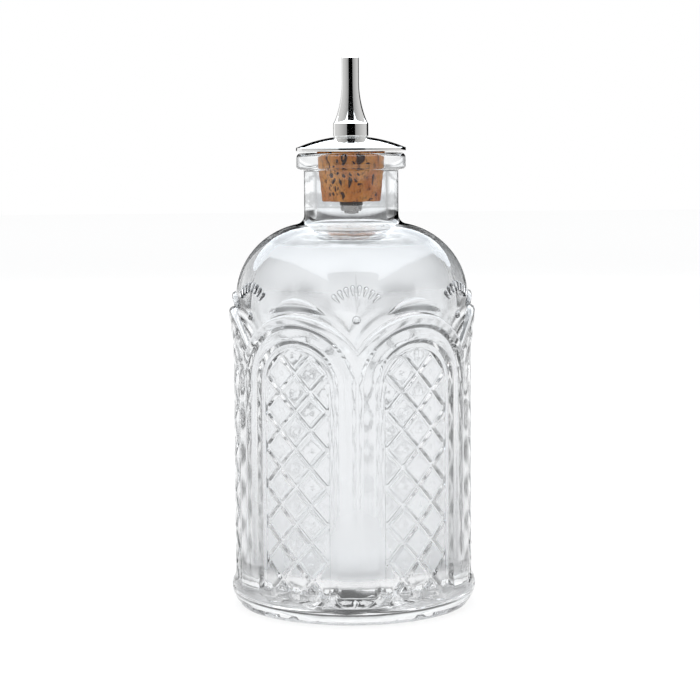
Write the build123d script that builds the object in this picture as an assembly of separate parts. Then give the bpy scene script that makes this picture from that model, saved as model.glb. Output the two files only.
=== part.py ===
from build123d import *
from math import asin, ceil, cos, degrees, hypot, radians, sin, sqrt
import os

# A pressed glass bitters bottle with a cork dasher stopper, in millimetres.
# The bottle stands on its foot at height zero, on the Z axis, and a palmette faces -Y.
# The bottle is empty. Everything from the cork upwards lifts out as one stopper.

# Bottle, outer form
body_radius = 30.25
glass_height = 117.7
lip_overhang = 1.9
lip_height = 4.2
lip_round = 1.2
mouth_round = 0.6
neck_wall = 3.18
neck_length = 11.7
neck_fillet = 2.5
vault_corner = 1.43

# Foot and the bulging ledge that the columns stand on
foot_setback = 0.25
foot_round = 1.0
ledge_step = 2.0
ledge_edge_relief = 0.75
ledge_relief = 1.7
ledge_crest_height = 5.2
ledge_top = 8.8

# Inside of the bottle and the underside
wall = 4.25
floor_height = 8.0
floor_round = 6.0
recess_radius = 24.0
recess_depth = 1.2
star_points = 24
star_start_radius = 5.0
star_flute_depth = 0.9
star_flute_width = 4.6

# Arched panels: six round-headed windows, each framed by two raised mouldings
panels = 6
arch_drop = 19.8
frame_relief = 1.0
moulding_relief = 1.68
moulding_width = 4.0
moulding_gap = 0.5
column_half_width = 1.65
window_frame = 0.8
frame_margin = 0.4
inner_round = 2.2
outer_round = 1.4
search_share = 0.1

# Diamond lattice in each window
diamond_angle = 16.0
diamond_height = 9.45
diamond_relief = 0.95
valley_relief = 0.1
lattice_datum = 16.0

# Crescent over each arch
crescent_half_width = 8.0
crescent_rise = 18.3
crescent_bow = 0.7
crescent_thickness = 3.1
crescent_relief = 0.9

# Palmette between two arches
petals = 6
petal_pitch_angle = 16.0
palmette_rise = 16.3
petal_inner_radius = 5.9
petal_outer_radius = 9.2
petal_tip_round = 0.35
petal_head_round = 0.8
petal_relief = 0.65
bead_rise = 14.3
bead_radius = 1.0
bead_relief = 0.6

# Cork
cork_fit = 0.12
cork_top_radius = 8.9
cork_bottom_radius = 7.55
cork_length = 12.8
cork_edge_round = 0.4

# Domed flange
lip_gap = 0.4
flange_overhang = 0.1
flange_rim = 0.9
flange_rim_round = 0.25
dome_rise = 3.0

# Dasher spout
spout_base_radius = 4.53
spout_base_height = 3.7
spout_groove_height = 0.35
spout_groove_depth = 0.3
spout_step = 0.35
spout_neck_radius = 2.19
spout_flare_height = 10.3
spout_height = 20.6
spout_tip_round = 0.4
outlet_radius = 1.0
socket_depth = 3.3

# Tube, washer and nut that hold the stopper together
stem_radius = 1.9
stem_bore = 1.2
stem_fit = 0.05
stem_end_proud = 0.3
washer_radius = 3.0
washer_thickness = 1.1
nut_radius = 2.8
nut_height = 1.2
nut_edge = 0.3
nut_slot_width = 0.7
nut_slot_depth = 0.5

# Room that cutting shapes take beyond what they cut
overrun = 1.0

# Worked out from the sizes above
panel_angle = 360 / panels
frame_radius = body_radius + frame_relief
crest_radius = body_radius + moulding_relief
ledge_crest_radius = body_radius + ledge_relief
foot_radius = body_radius - foot_setback
inner_radius = body_radius - wall
bore_radius = cork_top_radius + cork_fit
neck_radius = bore_radius + neck_wall
lip_radius = neck_radius + lip_overhang
lip_foot = glass_height - lip_height
shoulder_centre_radius = bore_radius + vault_corner
shoulder_radius = body_radius - shoulder_centre_radius
fillet_height = lip_foot - neck_length
fillet_run = neck_radius + neck_fillet - shoulder_centre_radius
shoulder_start = fillet_height - sqrt((shoulder_radius + neck_fillet) ** 2 - fillet_run**2)
arch_spring = shoulder_start - arch_drop
outer_groove = frame_radius * sin(radians(panel_angle / 2)) - column_half_width
inner_moulding_outer = outer_groove - moulding_gap / 2
inner_moulding_inner = outer_groove - moulding_width
outer_moulding_inner = outer_groove + moulding_gap / 2
outer_moulding_outer = outer_groove + moulding_width
frame_opening = inner_moulding_inner
window_half_width = frame_opening - window_frame
relief_root = inner_radius * cos(radians(panel_angle / 2))
cork_top = glass_height + lip_gap
cork_bottom = cork_top - cork_length
washer_bottom = cork_bottom - washer_thickness
nut_bottom = washer_bottom - nut_height
stem_hole = stem_radius + stem_fit
flange_radius = lip_radius + flange_overhang
rim_top = cork_top + flange_rim
dome_radius = (flange_radius**2 + dome_rise**2) / (2 * dome_rise)
dome_centre = rim_top + dome_rise - dome_radius
spout_seat = dome_centre + sqrt(dome_radius**2 - spout_base_radius**2)
spout_tip = spout_seat + spout_height


def revolved(outline):
    """Turn a closed outline in the XZ plane round the Z axis."""
    return revolve(Plane.XZ * outline, Axis.Z)


def ring_copies(shape, count, start_angle=0):
    """Copies of a shape at even steps round the Z axis."""
    step = 360 / count
    return [Rot(0, 0, start_angle + step * index) * shape for index in range(count)]


def shoulder_outline(offset):
    """Outline of the body above the ledge, set out from the glass by the offset."""
    arc_radius = shoulder_radius + offset
    share = arc_radius / (shoulder_radius + neck_fillet)
    arc_end_radius = shoulder_centre_radius + fillet_run * share
    arc_end_height = shoulder_start + (fillet_height - shoulder_start) * share
    arc_end = (arc_end_radius, arc_end_height)
    middle_angle = radians(45)
    arc_middle = (
        shoulder_centre_radius + arc_radius * sin(middle_angle),
        shoulder_start + arc_radius * cos(middle_angle),
    )
    body_top = (body_radius + offset, shoulder_start)
    return body_top, arc_middle, arc_end


def glass_blank():
    """The turned outer form of the bottle, solid, with its ledge, shoulder, neck and lip."""
    ledge_edge = (body_radius + ledge_edge_relief, ledge_step)
    ledge_crest = (ledge_crest_radius, ledge_crest_height)
    ledge_end = (body_radius, ledge_top)
    body_top, arc_middle, arc_end = shoulder_outline(0)
    fillet_end = (neck_radius, fillet_height)
    edge = Line((0, 0), (foot_radius, 0))
    edge += Line((foot_radius, 0), (foot_radius, ledge_step))
    edge += Line((foot_radius, ledge_step), ledge_edge)
    edge += ThreePointArc(ledge_edge, ledge_crest, ledge_end)
    edge += Line(ledge_end, body_top)
    edge += ThreePointArc(body_top, arc_middle, arc_end)
    edge += RadiusArc(arc_end, fillet_end, neck_fillet)
    edge += Line(fillet_end, (neck_radius, lip_foot))
    edge += Line((neck_radius, lip_foot), (lip_radius, lip_foot))
    edge += Line((lip_radius, lip_foot), (lip_radius, glass_height))
    edge += Line((lip_radius, glass_height), (0, glass_height))
    edge += Line((0, glass_height), (0, 0))
    blank = revolved(make_face(edge))
    blank = fillet(blank.edges().group_by(Axis.Z)[-1], lip_round)
    return fillet(blank.edges().group_by(Axis.Z)[0], foot_round)


def glass_cavity():
    """The inside of the bottle, from the rounded floor to the mouth."""
    shoulder_inside = shoulder_radius - wall
    vault = shoulder_start + shoulder_inside
    middle_angle = radians(45)
    vault_middle = (
        shoulder_centre_radius + shoulder_inside * sin(middle_angle),
        shoulder_start + shoulder_inside * cos(middle_angle),
    )
    floor_start = (inner_radius - floor_round, floor_height)
    floor_end = (inner_radius, floor_height + floor_round)
    floor_middle = (
        inner_radius - floor_round * (1 - sin(middle_angle)),
        floor_height + floor_round * (1 - cos(middle_angle)),
    )
    vault_end = (shoulder_centre_radius, vault)
    neck_start = (bore_radius, vault + vault_corner)
    neck_middle = (
        shoulder_centre_radius - vault_corner * sin(middle_angle),
        vault + vault_corner * (1 - cos(middle_angle)),
    )
    mouth_start = (bore_radius, glass_height - mouth_round)
    mouth_middle = (
        bore_radius + mouth_round * (1 - cos(middle_angle)),
        glass_height - mouth_round * (1 - sin(middle_angle)),
    )
    mouth_end = (bore_radius + mouth_round, glass_height)
    above = glass_height + overrun
    edge = Line((0, floor_height), floor_start)
    edge += ThreePointArc(floor_start, floor_middle, floor_end)
    edge += Line(floor_end, (inner_radius, shoulder_start))
    edge += ThreePointArc((inner_radius, shoulder_start), vault_middle, vault_end)
    edge += ThreePointArc(vault_end, neck_middle, neck_start)
    edge += Line(neck_start, mouth_start)
    edge += ThreePointArc(mouth_start, mouth_middle, mouth_end)
    edge += Line(mouth_end, (mouth_end[0], above))
    edge += Line((mouth_end[0], above), (0, above))
    edge += Line((0, above), (0, floor_height))
    return revolved(make_face(edge))


def panel_wedge():
    """The sector of the bottle that one arched panel may fill, facing -Y."""
    half_angle = radians(panel_angle / 2)
    reach = (crest_radius + overrun) / cos(half_angle)
    corner_x = reach * sin(half_angle)
    corner_y = -reach * cos(half_angle)
    sector = Polygon((0, 0), (corner_x, corner_y), (-corner_x, corner_y), align=None)
    return extrude(sector, amount=glass_height, dir=(0, 0, 1))


def panel_prism(face):
    """Push a face, drawn about the arch's centre, out through the wall towards -Y."""
    wall_plane = Plane(origin=(0, -relief_root, arch_spring), x_dir=(1, 0, 0), z_dir=(0, -1, 0))
    return extrude(wall_plane * face, amount=crest_radius + overrun - relief_root)


def arch_face(radius):
    """A round-headed outline of one arch that runs down into the ledge."""
    leg = arch_spring - ledge_crest_height
    return Circle(radius) + Pos(0, -leg / 2) * Rectangle(2 * radius, leg)


def body_skin(offset):
    """Everything within an offset outside the plain glass body and shoulder."""
    body_top, arc_middle, arc_end = shoulder_outline(offset)
    edge = Line((0, 0), (body_top[0], 0))
    edge += Line((body_top[0], 0), body_top)
    edge += ThreePointArc(body_top, arc_middle, arc_end)
    edge += Line(arc_end, (0, arc_end[1]))
    edge += Line((0, arc_end[1]), (0, 0))
    return revolved(make_face(edge))


def crest_edges(moulding, radius):
    """Edges of a moulding's outer face that lie at one distance from the arch's centre line."""
    search = moulding_gap * search_share
    found = []
    for edge in moulding.edges():
        middle = edge @ 0.5
        reach = abs(middle.X)
        if middle.Z > arch_spring + search:
            reach = hypot(middle.X, middle.Z - arch_spring)
        on_crest = abs(hypot(middle.X, middle.Y) - crest_radius) < search
        if on_crest and middle.Z > ledge_top and abs(reach - radius) < search:
            found.append(edge)
    return found


def arch_moulding(inner, outer):
    """One raised moulding: two columns and the arch between them, rounded on both sides."""
    band = arch_face(outer) - arch_face(inner)
    barrel = extrude(Circle(crest_radius), amount=glass_height)
    moulding = panel_prism(band) & barrel
    moulding = fillet(crest_edges(moulding, inner), inner_round)
    return fillet(crest_edges(moulding, outer), outer_round)


def window_lattice():
    """Glass diamonds of one window: a facetted skin, four facets to a diamond, closed behind."""
    half_angle = diamond_angle / 2
    half_height = diamond_height / 2
    columns = ceil(degrees(asin(window_half_width / body_radius)) / half_angle)
    rows_down = int((lattice_datum - ledge_crest_height) / half_height)
    rows_up = ceil((arch_spring + window_half_width - lattice_datum) / half_height)

    def node(column, row):
        crest = (column + row) % 2 == 1
        relief = diamond_relief if crest else valley_relief
        angle = radians(column * half_angle)
        radius = body_radius + relief
        height = lattice_datum + row * half_height
        return Vector(radius * sin(angle), -radius * cos(angle), height)

    def back(column, row):
        angle = radians(column * half_angle)
        height = lattice_datum + row * half_height
        return Vector(inner_radius * sin(angle), -inner_radius * cos(angle), height)

    faces = []
    column_range = range(-columns, columns + 1)
    row_range = range(-rows_down, rows_up + 1)
    for column in column_range[:-1]:
        for row in row_range[:-1]:
            low_left = node(column, row)
            low_right = node(column + 1, row)
            top_left = node(column, row + 1)
            top_right = node(column + 1, row + 1)
            if (column + row) % 2 == 0:
                triangles = ((low_left, low_right, top_right), (low_left, top_right, top_left))
            else:
                triangles = ((low_left, low_right, top_left), (low_right, top_right, top_left))
            faces += [Face(Wire.make_polygon(points)) for points in triangles]
    for column in (column_range[0], column_range[-1]):
        rim = [node(column, row) for row in row_range]
        rim += [back(column, row_range[-1]), back(column, row_range[0])]
        faces.append(Face(Wire.make_polygon(rim)))
    for row in (row_range[0], row_range[-1]):
        rim = [node(column, row) for column in column_range]
        rim += [back(column_range[-1], row), back(column_range[0], row)]
        faces.append(Face(Wire.make_polygon(rim)))
    rim = [back(column_range[0], row_range[0]), back(column_range[-1], row_range[0])]
    rim += [back(column_range[-1], row_range[-1]), back(column_range[0], row_range[-1])]
    faces.append(Face(Wire.make_polygon(rim)))
    skin = Solid(Shell(faces))
    return skin & panel_prism(arch_face(window_half_width))


def crescent():
    """The raised crescent over an arch, on the turn of the shoulder."""
    left = (-crescent_half_width, crescent_rise)
    right = (crescent_half_width, crescent_rise)
    inner_middle = (0, crescent_rise + crescent_bow)
    outer_middle = (0, crescent_rise + crescent_bow + crescent_thickness)
    edge = ThreePointArc(left, inner_middle, right)
    edge += ThreePointArc(right, outer_middle, left)
    return panel_prism(make_face(edge)) & body_skin(crescent_relief)


def panel_relief():
    """All the relief of one arched panel, facing -Y."""
    barrel = extrude(Circle(frame_radius), amount=glass_height)
    frame_face = arch_face(outer_moulding_outer + frame_margin) - arch_face(frame_opening)
    frame = panel_prism(frame_face) & barrel
    inner = arch_moulding(inner_moulding_inner, inner_moulding_outer)
    outer = arch_moulding(outer_moulding_inner, outer_moulding_outer)
    relief = frame + inner + outer
    return [relief & panel_wedge(), window_lattice(), crescent()]


def petal_face():
    """One petal of a palmette, narrow at its foot, drawn on the line above the fan's centre."""
    head_centre = petal_outer_radius - petal_head_round
    tip_centre = petal_inner_radius + petal_tip_round
    lean = (petal_head_round - petal_tip_round) / (head_centre - tip_centre)
    across = sqrt(1 - lean**2)
    head = (petal_head_round * across, head_centre - petal_head_round * lean)
    tip = (petal_tip_round * across, tip_centre - petal_tip_round * lean)
    edge = Line((-tip[0], tip[1]), (-head[0], head[1]))
    edge += ThreePointArc((-head[0], head[1]), (0, petal_outer_radius), head)
    edge += Line(head, tip)
    edge += ThreePointArc(tip, (0, petal_inner_radius), (-tip[0], tip[1]))
    return make_face(edge)


def palmette_relief():
    """The fan of petals over the meeting of two arches, and the bead below it, facing -Y."""
    fan = []
    for index in range(petals):
        lean = (index - (petals - 1) / 2) * petal_pitch_angle
        fan.append(panel_prism(Pos(0, palmette_rise) * Rot(0, 0, lean) * petal_face()))
    skin = body_skin(petal_relief)
    relief = [petal & skin for petal in fan]
    bead_face = Pos(0, bead_rise) * Circle(bead_radius)
    relief.append(panel_prism(bead_face) & body_skin(bead_relief))
    return relief


def base_star():
    """Radial flutes under the base, each a V that deepens and widens towards the foot."""
    run = recess_radius - star_start_radius
    root = recess_depth - overrun
    growth = (star_flute_depth + overrun) / star_flute_depth
    start = recess_radius - run * growth
    half_width = star_flute_width / 2 * growth
    tip = Vector(start, 0, root)
    left = Vector(recess_radius, -half_width, root)
    right = Vector(recess_radius, half_width, root)
    ridge = Vector(recess_radius, 0, recess_depth + star_flute_depth)
    corners = ((tip, left, right), (tip, left, ridge), (tip, right, ridge), (left, right, ridge))
    flute = Solid(Shell([Face(Wire.make_polygon(points)) for points in corners]))
    return ring_copies(flute, star_points)


def bottle():
    """The glass bottle with its moulded relief, its cavity and the star under its base."""
    glass = glass_blank()
    relief = []
    for piece in panel_relief():
        relief += ring_copies(piece, panels, panel_angle / 2)
    for piece in palmette_relief():
        relief += ring_copies(piece, panels)
    glass = glass.fuse(*relief)
    glass -= glass_cavity()
    recess = extrude(Circle(recess_radius), amount=recess_depth + overrun)
    glass = glass.cut(Pos(0, 0, -overrun) * recess, *base_star())
    return glass


def tube(outer, inner, bottom, top):
    """A plain round piece with a hole through it, between two heights."""
    face = Circle(outer) - Circle(inner)
    return extrude(Pos(0, 0, bottom) * face, amount=top - bottom)


def cork_stopper():
    """Tapered cork with rounded ends and a hole for the tube."""
    hole = (stem_hole, cork_bottom)
    edge = Polyline(
        hole,
        (cork_bottom_radius, cork_bottom),
        (cork_top_radius, cork_top),
        (stem_hole, cork_top),
        hole,
    )
    cork = revolved(make_face(edge))
    rims = cork.edges().filter_by(GeomType.CIRCLE).sort_by(SortBy.RADIUS)[-2:]
    return fillet(rims, cork_edge_round)


def dome_flange():
    """Domed disc over the cork and the lip, flat underneath, with a seat for the spout."""
    middle_reach = (flange_radius + spout_base_radius) / 2
    dome_middle = (middle_reach, dome_centre + sqrt(dome_radius**2 - middle_reach**2))
    edge = Line((stem_hole, cork_top), (flange_radius, cork_top))
    edge += Line((flange_radius, cork_top), (flange_radius, rim_top))
    edge += ThreePointArc((flange_radius, rim_top), dome_middle, (spout_base_radius, spout_seat))
    edge += Line((spout_base_radius, spout_seat), (stem_hole, spout_seat))
    edge += Line((stem_hole, spout_seat), (stem_hole, cork_top))
    flange = revolved(make_face(edge))
    rims = flange.edges().filter_by(GeomType.CIRCLE).sort_by(SortBy.RADIUS)[-2:]
    return fillet(rims, flange_rim_round)


def dasher_spout():
    """Turned spout: a grooved base, a long flare into a slim neck, and a fine outlet."""
    base_top = spout_seat + spout_base_height
    groove_top = spout_seat + spout_groove_height
    flare_top = base_top + spout_step + spout_flare_height
    reach = spout_base_radius - spout_step - spout_neck_radius
    flare_radius = (spout_flare_height**2 + reach**2) / (2 * reach)
    flare_middle_height = flare_top - spout_flare_height / 2
    flare_middle = (
        spout_neck_radius + flare_radius - sqrt(flare_radius**2 - (spout_flare_height / 2) ** 2),
        flare_middle_height,
    )
    flare_foot = (spout_base_radius - spout_step, base_top + spout_step)
    groove_floor = spout_base_radius - spout_groove_depth
    socket_top = spout_seat + socket_depth
    edge = Polyline(
        (stem_hole, spout_seat),
        (groove_floor, spout_seat),
        (groove_floor, groove_top),
        (spout_base_radius, groove_top),
        (spout_base_radius, base_top),
        flare_foot,
    )
    edge += ThreePointArc(flare_foot, flare_middle, (spout_neck_radius, flare_top))
    edge += Polyline(
        (spout_neck_radius, flare_top),
        (spout_neck_radius, spout_tip),
        (outlet_radius, spout_tip),
        (outlet_radius, socket_top),
        (stem_hole, socket_top),
        (stem_hole, spout_seat),
    )
    spout = revolved(make_face(edge))
    tip_rim = spout.edges().group_by(Axis.Z)[-1].sort_by(SortBy.RADIUS)[-1]
    return fillet(tip_rim, spout_tip_round)


def stem_tube():
    """Tube from the socket of the spout down through the flange, the cork and the nut."""
    return tube(stem_radius, stem_bore, nut_bottom - stem_end_proud, spout_seat + socket_depth)


def end_washer():
    """Washer that spreads the clamping load on the underside of the cork."""
    return tube(washer_radius, stem_hole, washer_bottom, cork_bottom)


def retaining_nut():
    """Round slotted nut under the washer."""
    nut = tube(nut_radius, stem_hole, nut_bottom, washer_bottom)
    rim = nut.edges().group_by(Axis.Z)[0].sort_by(SortBy.RADIUS)[-1]
    nut = chamfer(rim, nut_edge)
    slot_height = nut_slot_depth + overrun
    slot = Box(2 * nut_radius + overrun, nut_slot_width, slot_height)
    return nut - Pos(0, 0, nut_bottom + nut_slot_depth - slot_height / 2) * slot


pieces = {
    "bottle": bottle,
    "cork_stopper": cork_stopper,
    "dome_flange": dome_flange,
    "dasher_spout": dasher_spout,
    "stem_tube": stem_tube,
    "end_washer": end_washer,
    "retaining_nut": retaining_nut,
}

os.makedirs("parts", exist_ok=True)
for name, make_piece in pieces.items():
    export_step(make_piece(), "parts/" + name + ".step")
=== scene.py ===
import bpy
import bmesh
from math import acos, asin, atan2, ceil, cos, degrees, hypot, pi, radians, sin, sqrt
from mathutils import Euler, Matrix, Vector, noise
from mathutils.geometry import delaunay_2d_cdt


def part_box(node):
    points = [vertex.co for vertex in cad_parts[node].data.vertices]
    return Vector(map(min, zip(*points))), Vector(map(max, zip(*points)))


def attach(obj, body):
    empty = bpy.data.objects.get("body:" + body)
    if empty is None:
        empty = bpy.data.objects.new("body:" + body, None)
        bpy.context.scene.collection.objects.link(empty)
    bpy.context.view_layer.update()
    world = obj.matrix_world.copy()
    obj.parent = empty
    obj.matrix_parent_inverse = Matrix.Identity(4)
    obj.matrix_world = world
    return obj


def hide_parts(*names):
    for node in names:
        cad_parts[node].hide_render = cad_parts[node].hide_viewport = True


bl_info = {
    "name": "Bitters bottle",
    "version": (1, 0, 0),
    "blender": (4, 5, 0),
    "location": "3D View > Sidebar > Bottle",
    "description": "Builds a pressed glass bitters bottle with its cork dasher stopper",
    "category": "Object",
}

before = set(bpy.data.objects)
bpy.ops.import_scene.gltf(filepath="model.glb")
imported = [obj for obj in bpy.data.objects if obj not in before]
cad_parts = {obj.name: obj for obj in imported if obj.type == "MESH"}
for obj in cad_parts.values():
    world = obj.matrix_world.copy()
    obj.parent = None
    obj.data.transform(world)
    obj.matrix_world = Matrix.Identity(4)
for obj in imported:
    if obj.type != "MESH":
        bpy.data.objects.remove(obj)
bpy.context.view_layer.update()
_, GLASS_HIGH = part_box("bottle")
CORK_LOW, CORK_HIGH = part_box("cork_stopper")
FLANGE_LOW, FLANGE_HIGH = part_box("dome_flange")
SPOUT_LOW, SPOUT_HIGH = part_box("dasher_spout")
STEM_LOW, STEM_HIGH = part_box("stem_tube")
WASHER_LOW, WASHER_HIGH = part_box("end_washer")

# Counts and angles in the pattern of the glass
PANELS = 6
PETALS = 8
STAR_POINTS = 24
PANEL_ANGLE = 2 * pi / PANELS
LATTICE_ANGLE = radians(8)
PETAL_PITCH = radians(12.2)

# Crescents, measured from the middle of an arch where it springs, then petals and beads,
# measured from the centre of their fan
CRESCENT_RISE = 0.0179
CRESCENT_BOW = 0.0004
CRESCENT_WIDTH = 0.0038
CRESCENT_HALF_WIDTH = 0.0084
PETAL_FOOT = 0.0067
PETAL_HEAD = 0.0084
PETAL_HALF_WIDTHS = (0.0003, 0.00062)
BEAD_RISE = 0.0004
BEAD_RADIUS = 0.001

# Loops of the mesh round a petal and a bead, as shares of its width, and the band of shares
# round its foot where the glass gets painted shade, a dark grey base colour
PETAL_LOOPS = (1.16, 1, 0.88, 0.62, 0.25)
BEAD_LOOPS = (1.16, 1, 0.8, 0.4)
PAINTED_SHADE_BAND = (0.85, 1.05)

# Section across the two mouldings of an arch: distance from the arch's middle, and relief
MOULDING_PROFILE = (
    (0.009175, 0.0007), (0.0098, 0.00068), (0.0103, 0.0005), (0.0106, 0.0004),
    (0.01072, 0.00043), (0.01145, 0.00113), (0.0116, 0.0012), (0.0119, 0.00124),
    (0.0126, 0.00122), (0.0134, 0.0011), (0.0141, 0.00093), (0.0144, 0.00087),
    (0.01452, 0.0009), (0.01525, 0.0016), (0.01541, 0.00167), (0.0158, 0.00169),
    (0.0168, 0.00169), (0.0173, 0.00164), (0.0177, 0.00142), (0.018, 0.00095), (0.0183, 0.0),
)

# On a column the two mouldings flow into one flat face over this length below the arches
COLUMN_EDGE = 0.0119
COLUMN_RELIEF = 0.00124
COLUMN_FADE = 0.011

# Section across a crescent: share of its width, and share of its relief
CRESCENT_PROFILE = (
    (0.0, 0.0), (0.15, 0.2), (0.35, 0.62), (0.5, 0.9), (0.62, 1.0),
    (0.8, 0.98), (0.9, 0.75), (1.0, 0.0),
)

# Section across a diamond of the lattice: distance from its groove, and relief
DIAMOND_PROFILE = (
    (0.0, 0.0), (0.0002, 0.0), (0.00064, 0.00056), (0.00085, 0.00066),
    (0.0014, 0.00069), (0.0032, 0.0007),
)

# How near to its middle a diamond rises to its point, as a share of its half width
APEX_REACH = 0.16

# Rows of the mesh up the ledge, between its crest and its top
LEDGE_ROWS = (0.0058, 0.0064, 0.007, 0.0076, 0.0082)

# Large pits on the front of the cork: turn from the front in degrees, height above its
# lower end, half width, half length, and lean from upright in degrees
CORK_PITS = (
    (-42, 0.0108, 0.0002, 0.0008, -25), (-38, 0.0095, 0.0002, 0.0005, 0),
    (-16, 0.0107, 0.00026, 0.0006, -15), (15, 0.0112, 0.0009, 0.00026, 0),
    (-37, 0.0068, 0.0006, 0.0006, -35), (-34, 0.0052, 0.0004, 0.0008, 30),
    (-21, 0.005, 0.00026, 0.001, -12), (-15, 0.0067, 0.00036, 0.0005, -30),
    (-3, 0.007, 0.0002, 0.0006, -35), (10, 0.0071, 0.00023, 0.0005, -35),
    (6, 0.0054, 0.00023, 0.0006, -35), (12, 0.0045, 0.0005, 0.0003, -10),
    (-43, 0.0034, 0.00024, 0.0005, 0), (-31, 0.0032, 0.00022, 0.0008, 0),
    (-44, 0.0018, 0.0003, 0.0005, 0), (-17, 0.0014, 0.0003, 0.0007, 0),
    (49, 0.0017, 0.0004, 0.0004, 30), (-57, 0.0062, 0.00018, 0.0004, 0),
    (37, 0.0006, 0.0004, 0.0002, 0), (-55, 0.0118, 0.0002, 0.0003, 0),
    (-48, 0.0085, 0.0002, 0.0005, 10), (-30, 0.0088, 0.00025, 0.0006, -20),
    (-25, 0.0074, 0.0003, 0.0004, 20), (-40, 0.0042, 0.0002, 0.0004, -30),
    (-26, 0.0034, 0.0002, 0.0005, 15), (-36, 0.002, 0.0003, 0.0005, -20),
    (-50, 0.0052, 0.0002, 0.0006, 10), (-24, 0.0104, 0.0002, 0.0004, -10),
    (2, 0.01, 0.0002, 0.0005, -40), (25, 0.0098, 0.0005, 0.00018, 5),
)

# Radius of the hole for the stem in the cork, flange, spout and washer
STEM_HOLE = 0.00195

# Haze on the inside of the glass: its level, how far that swings from panel to column, the
# height above which it doesn't swing, and the length over which the swing fades below that
HAZE = 1.35
HAZE_SWING = 0.35
HAZE_TURNS = 0.074
HAZE_FADE = 0.012

# Light of the soft cards
SOFT_LIGHT = 3.9
SOFT_TINT = (0.88, 0.94, 1.0)

# Glow of each side of the light tent over its height, as height in metres and brightness
TENT_TOP = 1.5
TENT_LIGHT = 2.8
BACK_GLOW = (
    (0.0, 1.28), (0.06, 1.1), (0.072, 0.66), (0.092, 0.66), (0.108, 1.05), (0.15, 1.05),
    (0.21, 0.75), (0.27, 0.1), (0.6, 0.12), (0.9, 0.45), (1.0, 0.7), (1.25, 0.85), (1.4, 2.8),
)
LEFT_GLOW = (
    (0.0, 0.55), (0.15, 0.55), (0.3, 1.25), (0.8, 1.25), (1.0, 0.9), (1.25, 0.85), (1.4, 2.8),
)
RIGHT_GLOW = (
    (0.0, 0.5), (0.15, 0.5), (0.3, 0.35), (0.8, 0.35), (1.0, 0.7), (1.25, 0.85), (1.4, 2.8),
)
FRONT_GLOW = (
    (0.0, 0.95), (0.2, 0.9), (0.3, 0.5), (0.7, 0.45), (1.0, 0.7), (1.25, 0.85), (1.4, 2.8),
)


def length(name, description, default):
    """A size in metres that a user may change."""
    return bpy.props.FloatProperty(
        name=name, description=description, default=default, unit="LENGTH", precision=5
    )


def colour(name, description, default):
    """A colour that a user may change."""
    return bpy.props.FloatVectorProperty(
        name=name, description=description, default=default, size=3, min=0, max=1, subtype="COLOR"
    )


class GlassSizes(bpy.types.PropertyGroup):
    """Sizes of the pressed glass bottle"""

    ledge_relief: length("Ledge relief", "How far the ledge bulges from the body", 0.0017)
    neck_radius: length("Neck radius", "Outside of the neck", 0.0122)
    neck_fillet: length("Neck fillet", "Rounding between shoulder and neck", 0.0025)
    lip_radius: length("Lip radius", "Outside of the lip", 0.0141)
    lip_height: length("Lip height", "Height of the lip", 0.0042)
    lip_round: length("Lip rounding", "Rounding of the lip's top edge", 0.0012)
    bore_radius: length("Bore radius", "Inside of the neck", 0.00902)
    mouth_round: length("Mouth rounding", "Rounding of the mouth's inner edge", 0.0006)
    neck_flare: length("Neck flare", "Rounding where the inside opens below the neck", 0.008)
    vault_lift: length("Vault lift", "How far the glass thins at the top of the shoulder", 0.00125)
    shoulder_start: length("Shoulder start", "Height where the shoulder begins", 0.0799)
    shoulder_radius: length("Shoulder radius", "Radius of the shoulder's turn", 0.0198)
    wall: length("Wall", "Thickness of the glass", 0.00425)
    floor_height: length("Floor height", "Height of the inside floor", 0.008)
    floor_round: length("Floor rounding", "Rounding of the inside floor", 0.006)
    recess_radius: length("Recess radius", "Radius of the recess under the base", 0.024)
    recess_depth: length("Recess depth", "Depth of the recess under the base", 0.0012)
    star_depth: length("Star depth", "Depth of the flutes under the base", 0.0009)
    arch_spring: length("Arch spring", "Height where the arches begin to turn", 0.0601)
    apex_relief: length("Apex relief", "Height of the point on each diamond", 0.00015)
    diamond_height: length("Diamond height", "Height of one diamond", 0.00945)
    lattice_datum: length("Lattice datum", "Height of a crossing on the window's middle", 0.016)
    palmette_height: length("Palmette height", "Height of the palmettes' centres", 0.0764)
    petal_relief: length("Petal relief", "Height of the petals", 0.0008)
    crescent_relief: length("Crescent relief", "Height of the crescents", 0.0009)


class StopperSizes(bpy.types.PropertyGroup):
    """Sizes and colours of the dasher stopper"""

    pit_depth: length("Pit depth", "Depth of the pits in the cork", 0.00045)
    edge_round: length("Edge rounding", "Rounding of the turned steel edges", 0.00025)
    cork_brown: colour("Cork brown", "Main colour of the cork", (0.56, 0.145, 0.012))
    cork_pale: colour("Cork pale", "Paler growth bands of the cork", (0.78, 0.33, 0.07))
    cork_dark: colour("Cork dark", "Pits and bark streaks", (0.05, 0.012, 0.003))


class StageSettings(bpy.types.PropertyGroup):
    """Light and floor round the bottle"""

    fill: bpy.props.FloatProperty(name="Fill", description="Light from all round", default=0.9)
    side_power: bpy.props.FloatProperty(
        name="Side lamps", description="Power of the two side lamps in watts", default=0.8
    )
    top_power: bpy.props.FloatProperty(
        name="Top lamp", description="Power of the overhead lamp in watts", default=0.8
    )


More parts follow.
